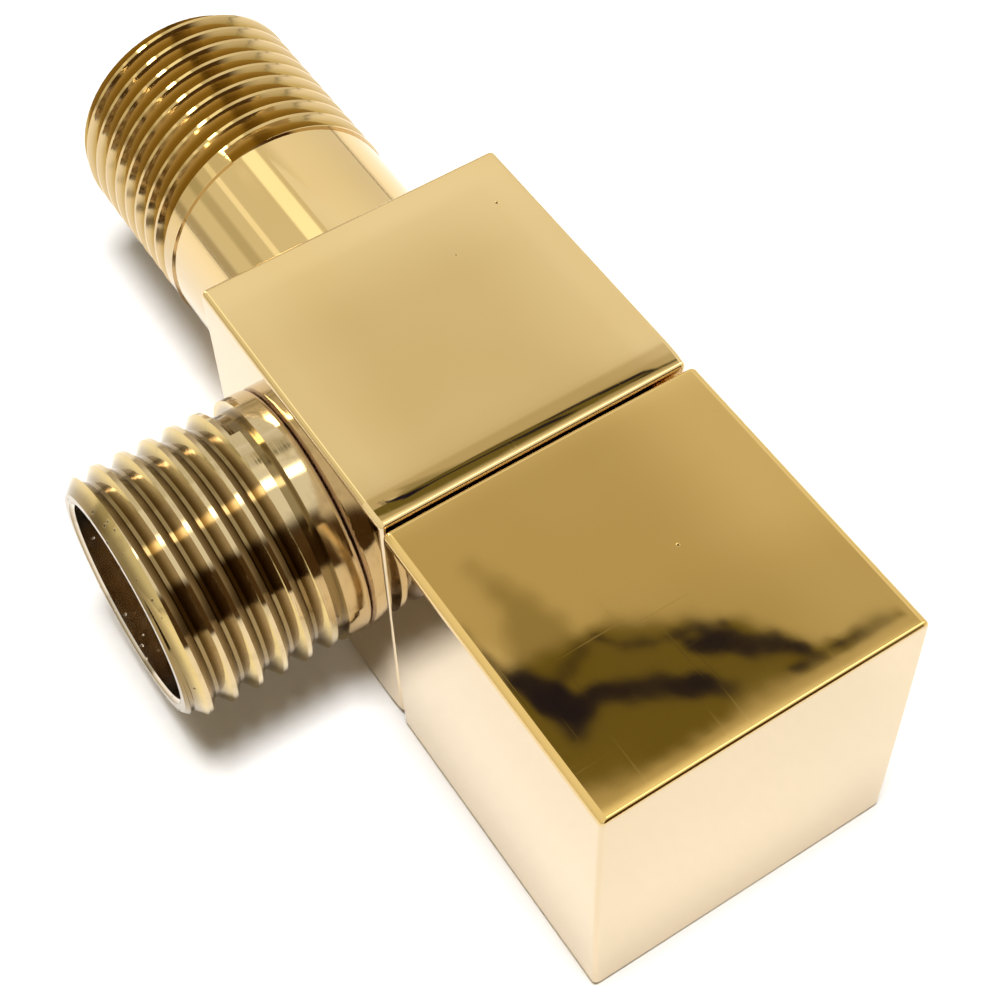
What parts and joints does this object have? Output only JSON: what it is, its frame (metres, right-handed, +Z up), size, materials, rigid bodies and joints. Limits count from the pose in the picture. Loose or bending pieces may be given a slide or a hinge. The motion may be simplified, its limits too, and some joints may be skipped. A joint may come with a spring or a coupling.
{
  "type": "angle valve",
  "caption": "Square quarter-turn angle stop valve with threaded inlet and side outlet, ceramic-disc cartridge and hollow square handle.",
  "frame": {"origin": "centre of the inlet spigot's end face", "axes": "+X along the main axis from the inlet to the handle, the outlet points along -Y, +Z up"},
  "size_m": [0.0845, 0.0421, 0.0268],
  "materials": {
    "gold_plate": "polished gold-coloured plating over brass",
    "pale_gold_plate": "pale gold-coloured plating over machined brass",
    "handle_gold_plate": "polished gold-coloured plating over die-cast metal",
    "bare_brass": "machined",
    "stainless_steel": "bright stainless steel",
    "black_rubber": "moulded rubber",
    "white_plastic": "moulded",
    "white_ceramic": "lapped alumina ceramic"
  },
  "bodies": {
    "valve": {"valve_body": "gold_plate", "outlet_spigot": "pale_gold_plate", "outlet_o_ring": "black_rubber", "strainer_rim": "bare_brass", "strainer_cup": "stainless_steel", "seat_seal": "black_rubber", "seat_support_ring": "white_plastic", "fixed_disc": "white_ceramic", "cartridge_housing": "bare_brass", "housing_o_ring": "black_rubber", "thrust_washer": "white_plastic"},
    "handle": {"handle_shell": "handle_gold_plate", "handle_adaptor": "bare_brass", "adaptor_screw": "stainless_steel", "grub_screw": "stainless_steel", "spindle": "bare_brass", "lower_spindle_o_ring": "black_rubber", "upper_spindle_o_ring": "black_rubber", "spindle_circlip": "stainless_steel", "rotating_disc": "white_ceramic"}
  },
  "joints": [
    {"name": "handle_turn", "type": "hinge", "parent": "valve", "child": "handle", "pos_m": [0.0582, 0, 0], "axis": [1, 0, 0], "range_deg": [0, 90]}
  ]
}
